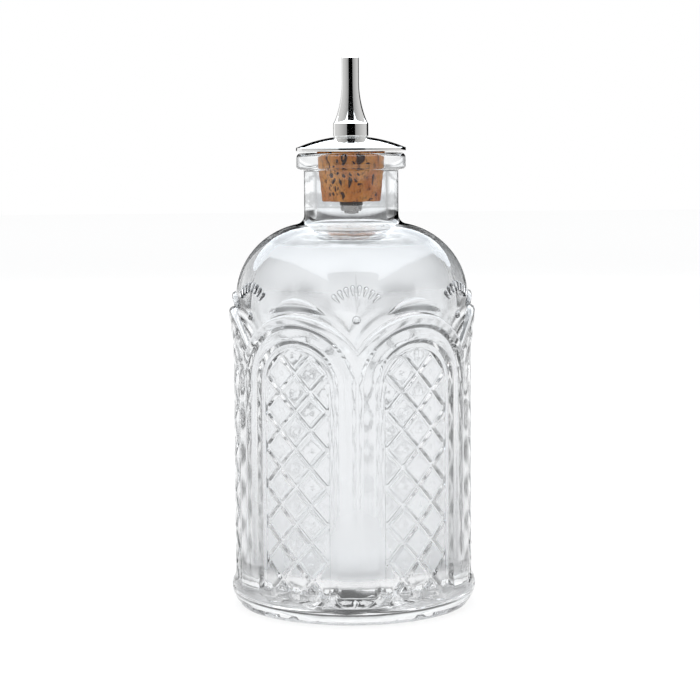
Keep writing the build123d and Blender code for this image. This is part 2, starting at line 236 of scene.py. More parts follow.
class Value:
    """A shader value that can be added, scaled and compared like a number."""

    def __init__(self, graph, socket):
        self.graph = graph
        self.socket = socket

    def _math(self, operation, first, second):
        return self.graph.node("ShaderNodeMath", {"operation": operation}, {0: first, 1: second})

    def __add__(self, other):
        return self._math("ADD", self, other)

    def __radd__(self, other):
        return self._math("ADD", other, self)

    def __sub__(self, other):
        return self._math("SUBTRACT", self, other)

    def __rsub__(self, other):
        return self._math("SUBTRACT", other, self)

    def __mul__(self, other):
        return self._math("MULTIPLY", self, other)

    def __rmul__(self, other):
        return self._math("MULTIPLY", other, self)

    def __truediv__(self, other):
        return self._math("DIVIDE", self, other)

    def __pow__(self, other):
        return self._math("POWER", self, other)

    def step(self, low, high):
        """0 below low, 1 above high and a smooth rise between them."""
        settings = {"interpolation_type": "SMOOTHSTEP"}
        return self.graph.node("ShaderNodeMapRange", settings, {0: self, 1: low, 2: high})


class Graph:
    """The node tree of a new material or world, with one method that makes any node in it."""

    def __init__(self, name, store=None, shader="Principled BSDF"):
        self.owner = (bpy.data.materials if store is None else store).new(name)
        self.owner.use_nodes = True
        self.tree = self.owner.node_tree
        self.shader = self.tree.nodes[shader]

    def node(self, kind, settings=None, inputs=None, output=0):
        """Make a node, set its settings, then feed its sockets with values or links."""
        made = self.tree.nodes.new(kind)
        for key, value in (settings or {}).items():
            if key == "stops":
                self._set_stops(made.color_ramp, value)
            else:
                setattr(made, key, value)
        for key, value in (inputs or {}).items():
            self.feed(made.inputs[key], value)
        return Value(self, made.outputs[output])

    def _set_stops(self, ramp, stops):
        while len(ramp.elements) < len(stops):
            ramp.elements.new(1.0)
        for element, (place, tone) in zip(ramp.elements, stops):
            element.position = place
            element.color = (*tone, 1.0)

    def feed(self, socket, value):
        """Link a value into a socket, or set the socket to a plain number or colour."""
        if isinstance(value, Value):
            self.tree.links.new(value.socket, socket)
        else:
            socket.default_value = (*value, 1.0) if socket.type == "RGBA" else value

    def surface(self, **sockets):
        """Set or link the sockets of the surface shader by name."""
        for key, value in sockets.items():
            self.feed(self.shader.inputs[key.replace("_", " ")], value)
        return self.owner

    def finish(self, shader):
        """Make another shader node the surface of the material."""
        self.feed(self.tree.nodes["Material Output"].inputs["Surface"], shader)
        return self.owner

    def glow(self, tone, strength):
        """Make the material a plain light, which is dark at a strength of zero."""
        self.tree.nodes.remove(self.shader)
        inputs = {"Color": tone, "Strength": strength}
        return self.finish(self.node("ShaderNodeEmission", inputs=inputs))

    def attribute(self, name):
        """A number that the mesh holds at each of its points."""
        return self.node("ShaderNodeAttribute", {"attribute_name": name}, output="Fac")

    def axes(self):
        """Object coordinates as three values: across, back and up."""
        spot = self.node("ShaderNodeTexCoord", output="Object")
        split = self.node("ShaderNodeSeparateXYZ", inputs={0: spot})
        return [Value(self, output) for output in split.socket.node.outputs]

    def in_sight(self):
        """1 or more for rays from the camera, a mirror or glass, and 0 for all other rays."""
        rays = self.tree.nodes.new("ShaderNodeLightPath").outputs
        kinds = ("Camera", "Transmission", "Glossy")
        camera, through, mirror = (Value(self, rays["Is " + kind + " Ray"]) for kind in kinds)
        return camera + through + mirror

    def place(self, scale=(1, 1, 1)):
        """Object coordinates, scaled along each axis."""
        spot = self.node("ShaderNodeTexCoord", output="Object")
        return self.node("ShaderNodeMapping", inputs={"Vector": spot, "Scale": scale})

    def noise(self, place, scale, detail=3.0, roughness=0.5):
        """Smooth noise from 0 to 1."""
        inputs = {"Vector": place, "Scale": scale, "Detail": detail, "Roughness": roughness}
        return self.node("ShaderNodeTexNoise", inputs=inputs)

    def blend(self, share, first, second):
        """A colour between two colours."""
        settings = {"data_type": "RGBA"}
        return self.node("ShaderNodeMix", settings, {0: share, 6: first, 7: second}, output=2)

    def bump(self, height, strength, distance):
        """A surface normal from a height."""
        inputs = {"Height": height, "Strength": strength, "Distance": distance}
        return self.node("ShaderNodeBump", inputs=inputs)


def glass_material():
    """Clear pressed glass: a little wavy, hazy inside, with painted shade round the feet of petals
    and beads.
    """
    graph = Graph("clear_glass")
    waves = graph.noise(graph.place(), 60.0, 2.0)
    ripple = graph.noise(graph.place(), 420.0, 2.0)
    level = graph.axes()[2]
    low, high = 1 - level.step(0.008, 0.06), level.step(0.072, 0.088)
    haze = graph.attribute("inside") * (0.07 + low * 0.12 + high * 0.16)
    # Painted shade: a dark grey base colour round the feet of petals and beads stands in for the
    # dark edges that refraction gives there.
    clear, dark = (0.935, 0.945, 0.955), (0.22, 0.23, 0.25)
    return graph.surface(
        Base_Color=graph.blend(graph.attribute("outline"), clear, dark),
        Roughness=0.01 + low * 0.04 + haze,
        IOR=1.5,
        Transmission_Weight=1.0,
        Normal=graph.bump(waves + ripple * 0.12, 0.35, 0.00035),
    )


def cork_material(sizes):
    """Natural cork: brown with paler growth bands, dark pits and fine grain."""
    graph = Graph("natural_cork")
    bands = graph.noise(graph.place((1.0, 1.0, 0.45)), 190.0, 4.0, 0.6)
    grain = graph.noise(graph.place((1.0, 1.0, 0.5)), 1500.0, 5.0, 0.7)
    cells = graph.node(
        "ShaderNodeTexVoronoi", inputs={"Vector": graph.place((1, 1, 0.6)), "Scale": 2200.0}
    )
    tone = graph.blend(bands.step(0.38, 0.68), sizes.cork_brown, sizes.cork_pale)
    tone = graph.blend((1 - grain.step(0.32, 0.52)) * 0.75, tone, sizes.cork_dark)
    tone = graph.blend(graph.attribute("pit").step(0.25, 0.75), tone, sizes.cork_dark)
    return graph.surface(
        Base_Color=tone,
        Roughness=0.78 + grain * 0.15,
        Specular_IOR_Level=0.35,
        Normal=graph.bump(grain * 0.7 + cells * 0.3, 0.6, 0.0002),
    )


def polished_steel_material():
    """Mirror polished steel with faint turning lines and a trace of haze."""
    graph = Graph("polished_steel")
    haze = graph.noise(graph.place(), 260.0, 4.0)
    lines = graph.noise(graph.place((0.02, 0.02, 1.0)), 9000.0, 2.0)
    return graph.surface(
        Base_Color=(0.86, 0.86, 0.85),
        Metallic=1.0,
        Roughness=0.045 + haze * 0.05,
        Normal=graph.bump(lines, 0.04, 0.00002),
    )


def plain_steel_material():
    """Plain machined steel with painted shade: bright on the nut below, and near black on the
    washer and the tube, where the cork shades them.
    """
    graph = Graph("plain_steel")
    haze = graph.noise(graph.place(), 700.0, 4.0)
    lines = graph.noise(graph.place((0.05, 0.05, 1.0)), 7000.0, 2.0)
    # Painted shade: from the washer's underside up, the base colour turns near black in place of
    # the shadow that the cork casts over the washer and the tube.
    above = graph.axes()[2].step(WASHER_LOW[2] - 0.0001, WASHER_LOW[2] + 0.0001)
    return graph.surface(
        Base_Color=graph.blend(above, (0.42, 0.41, 0.4), (0.05, 0.045, 0.04)),
        Metallic=1.0,
        Roughness=0.2 + haze * 0.16,
        Normal=graph.bump(lines, 0.12, 0.00003),
    )


def arc(centre, radius, start, end, steps):
    """Points along an arc of a profile, angles in degrees from the outward direction."""
    points = []
    for index in range(steps + 1):
        angle = radians(start + (end - start) * index / steps)
        points.append((centre[0] + radius * cos(angle), centre[1] + radius * sin(angle)))
    return points


def line(start, end, steps):
    """Points along a straight stretch of a profile, without its last point."""
    points = []
    for index in range(steps):
        share = index / steps
        radius = start[0] + (end[0] - start[0]) * share
        points.append((radius, start[1] + (end[1] - start[1]) * share))
    return points


def turned(profile, steps):
    """Spin a profile of (radius, height) points round the Z axis into a bmesh."""
    mesh = bmesh.new()
    verts = [mesh.verts.new((radius, 0, height)) for radius, height in profile]
    edges = [mesh.edges.new(pair) for pair in zip(verts, verts[1:])]
    bmesh.ops.spin(
        mesh, geom=verts + edges, cent=(0, 0, 0), axis=(0, 0, 1),
        angle=2 * pi, steps=steps, use_merge=True,
    )
    bmesh.ops.remove_doubles(mesh, verts=mesh.verts, dist=1e-7)
    bmesh.ops.recalc_face_normals(mesh, faces=mesh.faces)
    return mesh


def soften(mesh, sharp_angle):
    """Shade all faces smooth, with the edges above an angle kept crisp."""
    for face in mesh.faces:
        face.smooth = True
    for edge in mesh.edges:
        if len(edge.link_faces) == 2 and edge.calc_face_angle(0) > sharp_angle:
            edge.smooth = False


def absorb(mesh, other):
    """Move all of another bmesh into a bmesh."""
    data = bpy.data.meshes.new("moved")
    other.to_mesh(data)
    other.free()
    mesh.from_mesh(data)
    bpy.data.meshes.remove(data)


def add_object(name, mesh, material):
    """Turn a bmesh into an object of one material."""
    data = bpy.data.meshes.new(name)
    mesh.to_mesh(data)
    mesh.free()
    data.materials.append(material)
    made = bpy.data.objects.new(name, data)
    bpy.context.scene.collection.objects.link(made)
    return made


def add_piece(name, mesh, material, body, slot, *nodes):
    """Turn a bmesh into a piece that rides on a body and stands for CAD nodes."""
    piece = add_object(name, mesh, material)
    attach(piece, body)
    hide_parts(*nodes)


def add_turned(name, profile, steps, crease, material, slot, node):
    """Add a turned piece of the stopper, with its edges above an angle in degrees crisp."""
    mesh = turned(profile, steps)
    soften(mesh, radians(crease))
    add_piece(name, mesh, material, "stopper", slot, node)


class GlassForm:
    """The outer form of the bottle as a radius over angle and height."""

    def __init__(self, sizes):
        self.sizes = sizes
        self.ledge_crest = GLASS_HIGH[0]
        self.body = self.ledge_crest - sizes.ledge_relief
        self.inner = self.body - sizes.wall
        self.turn_centre = self.body - sizes.shoulder_radius
        self.foot = self.body - 0.00025
        self.ledge_step = 0.002
        self.ledge_edge = self.body + 0.00075
        self.ledge_peak = 0.0052
        self.ledge_top = 0.0088
        self.frame_radius = self.body + 0.001
        self.relief_top = 0.088
        self.half_angle = PANEL_ANGLE / 2
        self.half_width = self.frame_radius * sin(self.half_angle)
        self.window = MOULDING_PROFILE[0][0]
        self.moulding_end = MOULDING_PROFILE[-1][0]
        self.vault = sizes.shoulder_start + sizes.shoulder_radius - sizes.wall + 0.0015

    def skin(self, height):
        """Radius of the plain body and shoulder at a height."""
        rise = height - self.sizes.shoulder_start
        if rise <= 0:
            return self.body
        return self.turn_centre + sqrt(max(self.sizes.shoulder_radius**2 - rise**2, 0))

    def ledge(self, height):
        """Radius of the bulging ledge at a height, or nothing above it."""
        if height > self.ledge_top:
            return 0
        if height < self.ledge_peak:
            share = (self.ledge_peak - height) / (self.ledge_peak - self.ledge_step)
            return self.ledge_crest - (self.ledge_crest - self.ledge_edge) * share**2
        share = (height - self.ledge_peak) / (self.ledge_top - self.ledge_peak)
        return self.ledge_crest - (self.ledge_crest - self.body) * share**2

    def groove_distance(self):
        """Distance from a groove of the lattice to the middle of a diamond."""
        across = self.body * LATTICE_ANGLE
        up = self.sizes.diamond_height / 2
        return across * up / hypot(across, up)

    def diamonds(self, angle, height):
        """Relief of the lattice: cushioned diamonds with steep sides and narrow grooves."""
        across = angle / LATTICE_ANGLE
        up = (height - self.sizes.lattice_datum) / (self.sizes.diamond_height / 2)
        first = 1 - abs((across + up) % 2 - 1)
        second = 1 - abs((across - up) % 2 - 1)
        reach = min(first, second) * self.groove_distance()
        relief = profile_height(DIAMOND_PROFILE, reach)
        far = max(1 - first, 1 - second)
        return relief + max(APEX_REACH - far, 0) / APEX_REACH * self.sizes.apex_relief

    def crescent(self, across, rise):
        """Relief of the crescent over an arch."""
        bow = 1 - (across / CRESCENT_HALF_WIDTH) ** 2
        if bow <= 0:
            return 0
        low = CRESCENT_RISE + CRESCENT_BOW * bow
        high = low + CRESCENT_WIDTH * bow
        share = (rise - low) / (high - low)
        if not 0 < share < 1:
            return 0
        height = profile_height(CRESCENT_PROFILE, share)
        return self.sizes.crescent_relief * height * min(1, bow * 3)

    def palmette(self, across, rise):
        """Relief of the fan of petals and the bead below it."""
        petal, bead = palmette_shares(across, rise)
        if petal < 1:
            return self.sizes.petal_relief * sqrt(1 - petal**3)
        if bead < 1:
            return self.sizes.petal_relief * sqrt(1 - bead * bead)
        return 0

    def outline(self, point):
        """Whether a point of the glass lies on the foot of a petal or a bead, where the glass gets
        painted shade.
        """
        if hypot(point.x, point.y) < self.skin(point.z) - 1e-5:
            return 0.0
        turn = atan2(point.x, -point.y)
        off = turn - 2 * self.half_angle * round(turn / (2 * self.half_angle))
        across = self.frame_radius * sin(abs(off))
        shares = palmette_shares(across, point.z - self.sizes.palmette_height)
        return float(any(PAINTED_SHADE_BAND[0] < share < PAINTED_SHADE_BAND[1] for share in shares))

    def relief(self, angle, height):
        """Relief over the plain body at an angle from an arch's middle and a height."""
        across = self.frame_radius * sin(angle)
        rise = height - self.sizes.arch_spring
        reach = hypot(across, rise) if rise > 0 else abs(across)
        if reach < self.window - 1e-6:
            return self.diamonds(angle, height)
        if reach < self.moulding_end:
            height = profile_height(MOULDING_PROFILE, reach)
            if rise < 0 and reach > COLUMN_EDGE:
                fade = min(-rise / COLUMN_FADE, 1)
                height += (COLUMN_RELIEF - height) * fade * fade * (3 - 2 * fade)
            return height
        found = self.crescent(across, rise)
        if found <= 0:
            aside = self.frame_radius * sin(self.half_angle - abs(angle))
            found = self.palmette(aside, height - self.sizes.palmette_height)
        return found

    def radius(self, angle, height):
        """Radius of the finished glass at an angle from an arch's middle and a height."""
        ledge = self.ledge(height)
        if height <= self.ledge_peak + 1e-7:
            return ledge
        return max(ledge, self.skin(height) + self.relief(angle, height))

    def base_profile(self):
        """The outline from the middle of the underside to the crest of the ledge."""
        sizes = self.sizes
        foot_round = 0.001
        points = line((0, sizes.recess_depth), (sizes.recess_radius, sizes.recess_depth), 10)
        points += [(sizes.recess_radius, sizes.recess_depth), (sizes.recess_radius + 0.0004, 0)]
        points += arc((self.foot - foot_round, foot_round), foot_round, -90, 0, 4)
        points += [(self.foot, self.ledge_step), (self.ledge_edge, self.ledge_step)]
        for _, height in line((0, self.ledge_step), (0, self.ledge_peak), 5)[1:]:
            points.append((self.ledge(height), height))
        points.append((self.ledge_crest, self.ledge_peak))
        return points

    def top_profile(self):
        """The outline from the shoulder over the lip and through the inside to the floor."""
        sizes = self.sizes
        top = GLASS_HIGH[2]
        lip_foot = top - sizes.lip_height
        edge, hollow = 0.0008, 0.0005
        reach = sizes.shoulder_radius + sizes.neck_fillet
        run = sizes.neck_radius + sizes.neck_fillet - self.turn_centre
        turn_end = degrees(acos(run / reach))
        above = self.relief_top - sizes.shoulder_start
        turn_start = degrees(asin(above / sizes.shoulder_radius))
        centre = (self.turn_centre, sizes.shoulder_start)
        points = arc(centre, sizes.shoulder_radius, turn_start, turn_end, 20)
        fillet_height = sizes.shoulder_start + sqrt(reach**2 - run**2)
        fillet_centre = (sizes.neck_radius + sizes.neck_fillet, fillet_height)
        points += arc(fillet_centre, sizes.neck_fillet, turn_end - 180, -180, 6)[1:]
        neck = [(sizes.neck_radius, fillet_height), (sizes.neck_radius, lip_foot - hollow)]
        points += line(*neck, 3)[1:]
        hollow_centre = (sizes.neck_radius + hollow, lip_foot - hollow)
        points += arc(hollow_centre, hollow, 180, 90, 4)
        points += arc((sizes.lip_radius - edge, lip_foot + edge), edge, -90, 0, 5)
        lip_centre = (sizes.lip_radius - sizes.lip_round, top - sizes.lip_round)
        points += arc(lip_centre, sizes.lip_round, 0, 90, 6)
        mouth_centre = (sizes.bore_radius + sizes.mouth_round, top - sizes.mouth_round)
        points += arc(mouth_centre, sizes.mouth_round, 90, 180, 4)
        return points + self.cavity()

    def cavity(self):
        """The inside of the outline, from below the mouth to the middle of the floor."""
        sizes = self.sizes
        inside = sizes.shoulder_radius - sizes.wall
        start, flare = sizes.shoulder_start + sizes.vault_lift, sizes.neck_flare
        run = sizes.bore_radius + flare - self.turn_centre
        rise = sqrt((inside + flare) ** 2 - run**2)
        turn = degrees(acos(run / (inside + flare)))
        flare_centre = (sizes.bore_radius + flare, start + rise)
        points = arc(flare_centre, flare, 180, 180 + turn, 12)
        points += arc((self.turn_centre, start), inside, turn, 0, 18)[1:]
        floor_centre = (self.inner - sizes.floor_round, sizes.floor_height + sizes.floor_round)
        points += arc(floor_centre, sizes.floor_round, 0, -90, 9)
        points += line((floor_centre[0], sizes.floor_height), (0, sizes.floor_height), 6)[1:]
        points += [(0, sizes.floor_height)]
        return points


def profile_height(profile, reach):
    """Height of a section, given as points of (distance, height), at a distance."""
    for (near, low), (far, high) in zip(profile, profile[1:]):
        if reach <= far:
            return low + (high - low) * max(reach - near, 0) / (far - near)
    return profile[-1][1]


def palmette_shares(across, rise):
    """How far out of a petal and of the bead a point lies, 1 being the foot of either."""
    petal = 2.0
    reach = hypot(across, rise)
    lean = atan2(across, rise)
    index = round(lean / PETAL_PITCH + 0.5 * (PETALS - 1))
    if 0 <= index < PETALS:
        off = lean - (index - 0.5 * (PETALS - 1)) * PETAL_PITCH
        along, aside = reach * cos(off), reach * sin(off)
        place = min(max(along, PETAL_FOOT), PETAL_HEAD)
        petal = hypot(along - place, aside) / petal_width(place)
    return petal, hypot(across, rise - BEAD_RISE) / BEAD_RADIUS


def petal_width(place):
    """Half the width of a petal at a distance from the fan's centre."""
    share = (place - PETAL_FOOT) / (PETAL_HEAD - PETAL_FOOT)
    narrow, wide = PETAL_HALF_WIDTHS
    return narrow + (wide - narrow) * share


def column_angles(form):
    """Angles of the mesh's columns, from the middle of an arch to the edge of its panel."""
    lattice_edge = asin(form.window / form.frame_radius)
    in_window = 9
    angles = [lattice_edge * index / in_window for index in range(in_window)]
    for reach, _ in MOULDING_PROFILE:
        if reach < form.half_width - 0.0002:
            angles.append(asin(reach / form.frame_radius))
    return angles + [form.half_angle]


def arch_lines(form):
    """The lines of the mouldings: up a column, then round to the top of the arch."""
    spring = form.sizes.arch_spring
    lines = []
    for reach, _ in MOULDING_PROFILE:
        start = 0 if reach < form.half_width else acos(form.half_width / reach)
        points = [] if start else [(asin(reach / form.frame_radius), form.ledge_peak)]
        steps = max(4, ceil((pi / 2 - start) / radians(3)))
        for index in range(steps + 1):
            turn = start + (pi / 2 - start) * index / steps
            across = min(reach * cos(turn), form.half_width)
            points.append((asin(across / form.frame_radius), spring + reach * sin(turn)))
        points[-1] = (0, points[-1][1])
        lines.append(points)
    return lines


def lattice_lines(form):
    """The grooves of the lattice and the lines beside them, cut off at the window's edge."""
    sizes = form.sizes
    half_height = sizes.diamond_height / 2
    spring = sizes.arch_spring
    low = form.ledge_peak + 0.0012
    steps = 160
    stations = {0.0, 1.0, 1 - APEX_REACH}
    for reach, _ in DIAMOND_PROFILE[:-1]:
        stations.add(reach / form.groove_distance())

    def inside(angle, height):
        across = form.frame_radius * sin(angle)
        rise = max(height - spring, 0)
        return angle >= 0 and height >= low and hypot(across, rise) < form.window

    lines = []
    for whole in range(-30, 30):
        for station in stations:
            for offset in {station, -station}:
                level = 2 * whole + offset
                for lean in (1, -1):
                    points = []
                    for index in range(steps + 1):
                        angle = form.half_angle * 0.62 * index / steps
                        up = level - lean * angle / LATTICE_ANGLE
                        points.append((angle, sizes.lattice_datum + up * half_height))
                    kept = [point for point in points if inside(*point)]
                    if len(kept) > 3:
                        lines.append((kept[0], kept[-1]))
    return lines


def crescent_lines(form):
    """Lines along the crescent over an arch."""
    lines = []
    for share, _ in CRESCENT_PROFILE:
        points = []
        for index in range(11):
            across = CRESCENT_HALF_WIDTH * 0.999 * index / 10
            bow = 1 - (across / CRESCENT_HALF_WIDTH) ** 2
            rise = CRESCENT_RISE + (CRESCENT_BOW + CRESCENT_WIDTH * share) * bow
            angle = asin(across / form.frame_radius)
            points.append((angle, form.sizes.arch_spring + rise))
        lines.append(points)
    return lines


def palmette_lines(form):
    """Lines round the petals and the bead on one side of a palmette."""
    loops = []
    for index in range(PETALS // 2):
        lean = (index + 0.5) * PETAL_PITCH
        for share in PETAL_LOOPS:
            points = []
            for step in range(17):
                turn = -pi / 2 + 2 * pi * step / 16
                place = PETAL_HEAD if cos(turn) > 0 else PETAL_FOOT
                width = petal_width(place) * share
                along, aside = place + width * cos(turn), width * sin(turn)
                across = along * sin(lean) + aside * cos(lean)
                rise = along * cos(lean) - aside * sin(lean)
                points.append((across, rise))
            loops.append(points)
    for share in BEAD_LOOPS:
        reach = BEAD_RADIUS * share
        points = []
        for step in range(9):
            turn = pi * step / 8
            points.append((reach * sin(turn), reach * cos(turn) + BEAD_RISE))
        points[0] = (0, points[0][1])
        points[-1] = (0, points[-1][1])
        loops.append(points)
    lines = []
    for points in loops:
        placed = []
        for across, rise in points:
            angle = form.half_angle - asin(across / form.frame_radius)
            placed.append((angle, form.sizes.palmette_height + rise))
        lines.append(placed)
    return lines


def open_points(form):
    """Points that spread the mesh evenly over the plain parts of the shoulder."""
    points = []
    rows, columns, pitch, gap = 16, 13, 0.0011, 0.0003
    probes = [(0, 0), (gap, 0), (-gap, 0), (0, gap), (0, -gap)]
    for row in range(1, rows + 1):
        height = form.relief_top - pitch * row
        for column in range(1, columns + 1):
            angle = form.half_angle * (column - 0.5 * (row % 2)) / (columns + 0.5)
            across = form.frame_radius * sin(angle)
            rise = height - form.sizes.arch_spring
            if hypot(across, rise) < form.moulding_end + 0.0004:
                continue
            if all(form.relief(angle + a / form.body, height + b) <= 0 for a, b in probes):
                points.append((angle, height))
    return points


def wall_mesh(form):
    """Half a panel of the wall, its mesh following the lines of the relief."""
    unit = 0.001
    coords, edges = [], []

    def add_line(points):
        first = len(coords)
        for angle, height in points:
            coords.append((angle * form.body / unit, height / unit))
        edges.extend((first + index, first + index + 1) for index in range(len(points) - 1))

    angles = column_angles(form)
    for height in (form.ledge_peak, form.relief_top):
        add_line([(angle, height) for angle in angles])
    for angle in (0, form.half_angle):
        add_line([(angle, form.ledge_peak), (angle, form.relief_top)])
    for height in (*LEDGE_ROWS, form.ledge_top):
        add_line([(0, height), (form.half_angle, height)])
    for group in (arch_lines, lattice_lines, crescent_lines, palmette_lines):
        for points in group(form):
            add_line(points)
    coords.extend((a * form.body / unit, h / unit) for a, h in open_points(form))
    flat = [Vector(point) for point in coords]
    points, _, faces, _, _, _ = delaunay_2d_cdt(flat, edges, [], 0, 1e-5)
    mesh = bmesh.new()
    verts = []
    for point in points:
        angle, height = point.x * unit / form.body, point.y * unit
        radius = form.radius(angle, height)
        turn = form.half_angle - angle
        verts.append(mesh.verts.new((radius * sin(turn), -radius * cos(turn), height)))
    for face in faces:
        mesh.faces.new([verts[index] for index in face])
    return mesh


def add_wall(mesh, form):
    """Add the relief wall: half a panel, mirrored, then copied round the bottle."""
    wall = wall_mesh(form)
    geom = list(wall.verts) + list(wall.edges) + list(wall.faces)
    bmesh.ops.mirror(wall, geom=geom, merge_dist=1e-7, axis="X")
    geom = list(wall.verts) + list(wall.edges) + list(wall.faces)
    bmesh.ops.spin(
        wall, geom=geom, cent=(0, 0, 0), axis=(0, 0, 1),
        angle=2 * pi, steps=PANELS, use_duplicate=True,
    )
    absorb(mesh, wall)


def place_columns(mesh, form):
    """Ease the even columns of a spun mesh onto the columns of the glass, counted from -Y."""
    angles = column_angles(form)
    half_steps = len(angles) - 1
    step = pi / PANELS / half_steps
    for vert in mesh.verts:
        radius = hypot(vert.co.x, vert.co.y)
        if radius < 1e-7:
            continue
        index = round(atan2(vert.co.y, vert.co.x) / step) % (2 * PANELS * half_steps)
        half, part = divmod(index, half_steps)
        offset = angles[half_steps - part] if half % 2 == 0 else angles[part]
        middle = (half // 2 + 0.5) * PANEL_ANGLE
        angle = middle - offset if half % 2 == 0 else middle + offset
        vert.co.x = radius * sin(angle)
        vert.co.y = -radius * cos(angle)


def press_star(mesh, form):
    """Raise the flutes of the star in the recess under the base."""
    sizes = form.sizes
    start, end_half_width = 0.005, 0.0023
    pitch = 2 * pi / STAR_POINTS
    for vert in mesh.verts:
        radius = hypot(vert.co.x, vert.co.y)
        if vert.co.z > sizes.recess_depth + 1e-6 or not start < radius <= sizes.recess_radius:
            continue
        if vert.co.z < sizes.recess_depth / 2:
            continue
        run = (radius - start) / (sizes.recess_radius - start)
        turn = atan2(vert.co.x, -vert.co.y) / pitch
        swing = abs((turn + 0.5) % 1 - 0.5) * pitch * radius
        half_width = end_half_width * run
        if swing < half_width:
            vert.co.z += sizes.star_depth * run * (1 - swing / half_width)


def mark_glass(mesh, form):
    """Store on the glass where its inside is hazy, and where petals and beads have their feet,
    which get painted shade.
    """
    inside = mesh.verts.layers.float.new("inside")
    outline = mesh.verts.layers.float.new("outline")
    for vert in mesh.verts:
        spot = vert.co
        reach = hypot(spot.x, spot.y)
        in_body = reach < form.inner + 1e-5 and spot.z >= form.sizes.floor_height - 1e-6
        under = form.skin(min(spot.z, form.vault)) - form.sizes.wall / 3
        hazy = in_body and spot.z < form.vault - 0.004 and reach < under
        swing = HAZE_SWING * cos(PANELS * atan2(spot.x, -spot.y))
        swing *= min(max((HAZE_TURNS - spot.z) / HAZE_FADE, 0), 1)
        vert[inside] = HAZE + swing if hazy else 0.0
        vert[outline] = form.outline(spot)


class BOTTLE_OT_glass(bpy.types.Operator):
    """Build the pressed glass bottle with its arches, lattice, palmettes and base star"""

    bl_idname = "bottle.glass"
    bl_label = "Glass bottle"

    def execute(self, context):
        form = GlassForm(context.scene.bottle_glass)
        steps = 2 * PANELS * (len(column_angles(form)) - 1)
        mesh = turned(form.top_profile(), steps)
        absorb(mesh, turned(form.base_profile(), steps))
        place_columns(mesh, form)
        press_star(mesh, form)
        add_wall(mesh, form)
        bmesh.ops.remove_doubles(mesh, verts=mesh.verts, dist=2e-6)
        bmesh.ops.recalc_face_normals(mesh, faces=mesh.faces)
        open_edges = [edge for edge in mesh.edges if len(edge.link_faces) != 2]
        if open_edges:
            raise RuntimeError("the glass has " + str(len(open_edges)) + " open edges")
        mark_glass(mesh, form)
        soften(mesh, radians(38))
        add_piece("glass_bottle", mesh, glass_material(), "bottle", "clear_glass", "bottle")
        return {"FINISHED"}


def pit_depth_share(point):
    """How deep a point of the cork lies in a pit, from 0 to 1."""
    spot = Vector((point.x, point.y, point.z * 0.62)) * 640
    pit = noise.noise(spot + noise.noise_vector(spot * 0.6) * 0.55)
    long_spot = Vector((point.x, point.y, point.z * 0.35)) * 900
    streak = noise.noise(long_spot + Vector((3.1, 7.7, 1.3)))
    share = max((pit - 0.4) / 0.2, (streak - 0.42) / 0.16, 0)
    ragged = 1 + 0.4 * noise.noise(point * 1900)
    turn = atan2(point.x, -point.y)
    for place, height, half_width, half_length, degrees_over in CORK_PITS:
        across = (turn - radians(place)) * hypot(point.x, point.y)
        rise = point.z - CORK_LOW[2] - height
        lean = radians(degrees_over)
        along = across * sin(lean) + rise * cos(lean)
        aside = across * cos(lean) - rise * sin(lean)
        reach = hypot(aside / half_width, along / half_length) * ragged
        share = max(share, (1.25 - reach) / 0.4)
    return min(share, 1)


class BOTTLE_OT_cork(bpy.types.Operator):
    """Build the tapered natural cork with its pits and its hole"""

    bl_idname = "bottle.cork"
    bl_label = "Cork"

    def execute(self, context):
        sizes = context.scene.bottle_stopper
        top, bottom = CORK_HIGH[2], CORK_LOW[2]
        head, tail, edge, inset = 0.0089, 0.00755, 0.0004, 0.00005
        points = [(STEM_HOLE, bottom), (tail * 0.6, bottom)]
        points += arc((tail - edge, bottom + edge), edge, -90, 0, 4)
        points += line((tail, bottom + edge), (head - inset, top - edge), 80)[1:]
        points += arc((head - edge - inset, top - edge), edge, 0, 90, 4)
        points += [(head * 0.6, top), (STEM_HOLE, top), (STEM_HOLE, bottom)]
        mesh = turned(points, 300)
        chipped_height, chip_rise = 0.0012, 0.0009
        pit_layer = mesh.verts.layers.float.new("pit")
        for vert in mesh.verts:
            radius = hypot(vert.co.x, vert.co.y)
            if radius < tail * 0.7:
                continue
            share = pit_depth_share(vert.co)
            vert[pit_layer] = share
            sunk = 1 - sizes.pit_depth * share / radius
            low = max(1 - (vert.co.z - bottom) / chipped_height, 0)
            chip = max(noise.noise(Vector((vert.co.x, vert.co.y, 0.004)) * 260) - 0.05, 0)
            vert.co.x *= sunk
            vert.co.y *= sunk
            vert.co.z += chip_rise * chip * low
        soften(mesh, radians(60))
        add_piece("natural_cork", mesh, cork_material(sizes), "stopper", "cork", "cork_stopper")
        return {"FINISHED"}


class BOTTLE_OT_flange(bpy.types.Operator):
    """Build the domed steel disc over the cork"""

    bl_idname = "bottle.flange"
    bl_label = "Domed flange"

    def execute(self, context):
        edge = context.scene.bottle_stopper.edge_round
        rim = FLANGE_HIGH[0]
        under, seat = FLANGE_LOW[2], FLANGE_HIGH[2]
        rim_top, rise, spout = under + 0.0009, 0.003, 0.00453
        dome = (rim**2 + rise**2) / (2 * rise)
        centre = rim_top + rise - dome
        start = degrees(acos((rim - edge * 0.6) / dome))
        end = degrees(acos(spout / dome))
        points = [(STEM_HOLE, under), (rim * 0.5, under)]
        points += arc((rim - edge, under + edge), edge, -90, 0, 5)
        points += arc((rim - edge, rim_top - edge * 0.35), edge, 0, 60, 5)
        points += arc((0, centre), dome, start, end, 28)
        points += [(spout * 0.8, seat), (STEM_HOLE, seat), (STEM_HOLE, under)]
        steel = polished_steel_material()
        add_turned("domed_flange", points, 160, 40, steel, "polished_steel", "dome_flange")
        return {"FINISHED"}


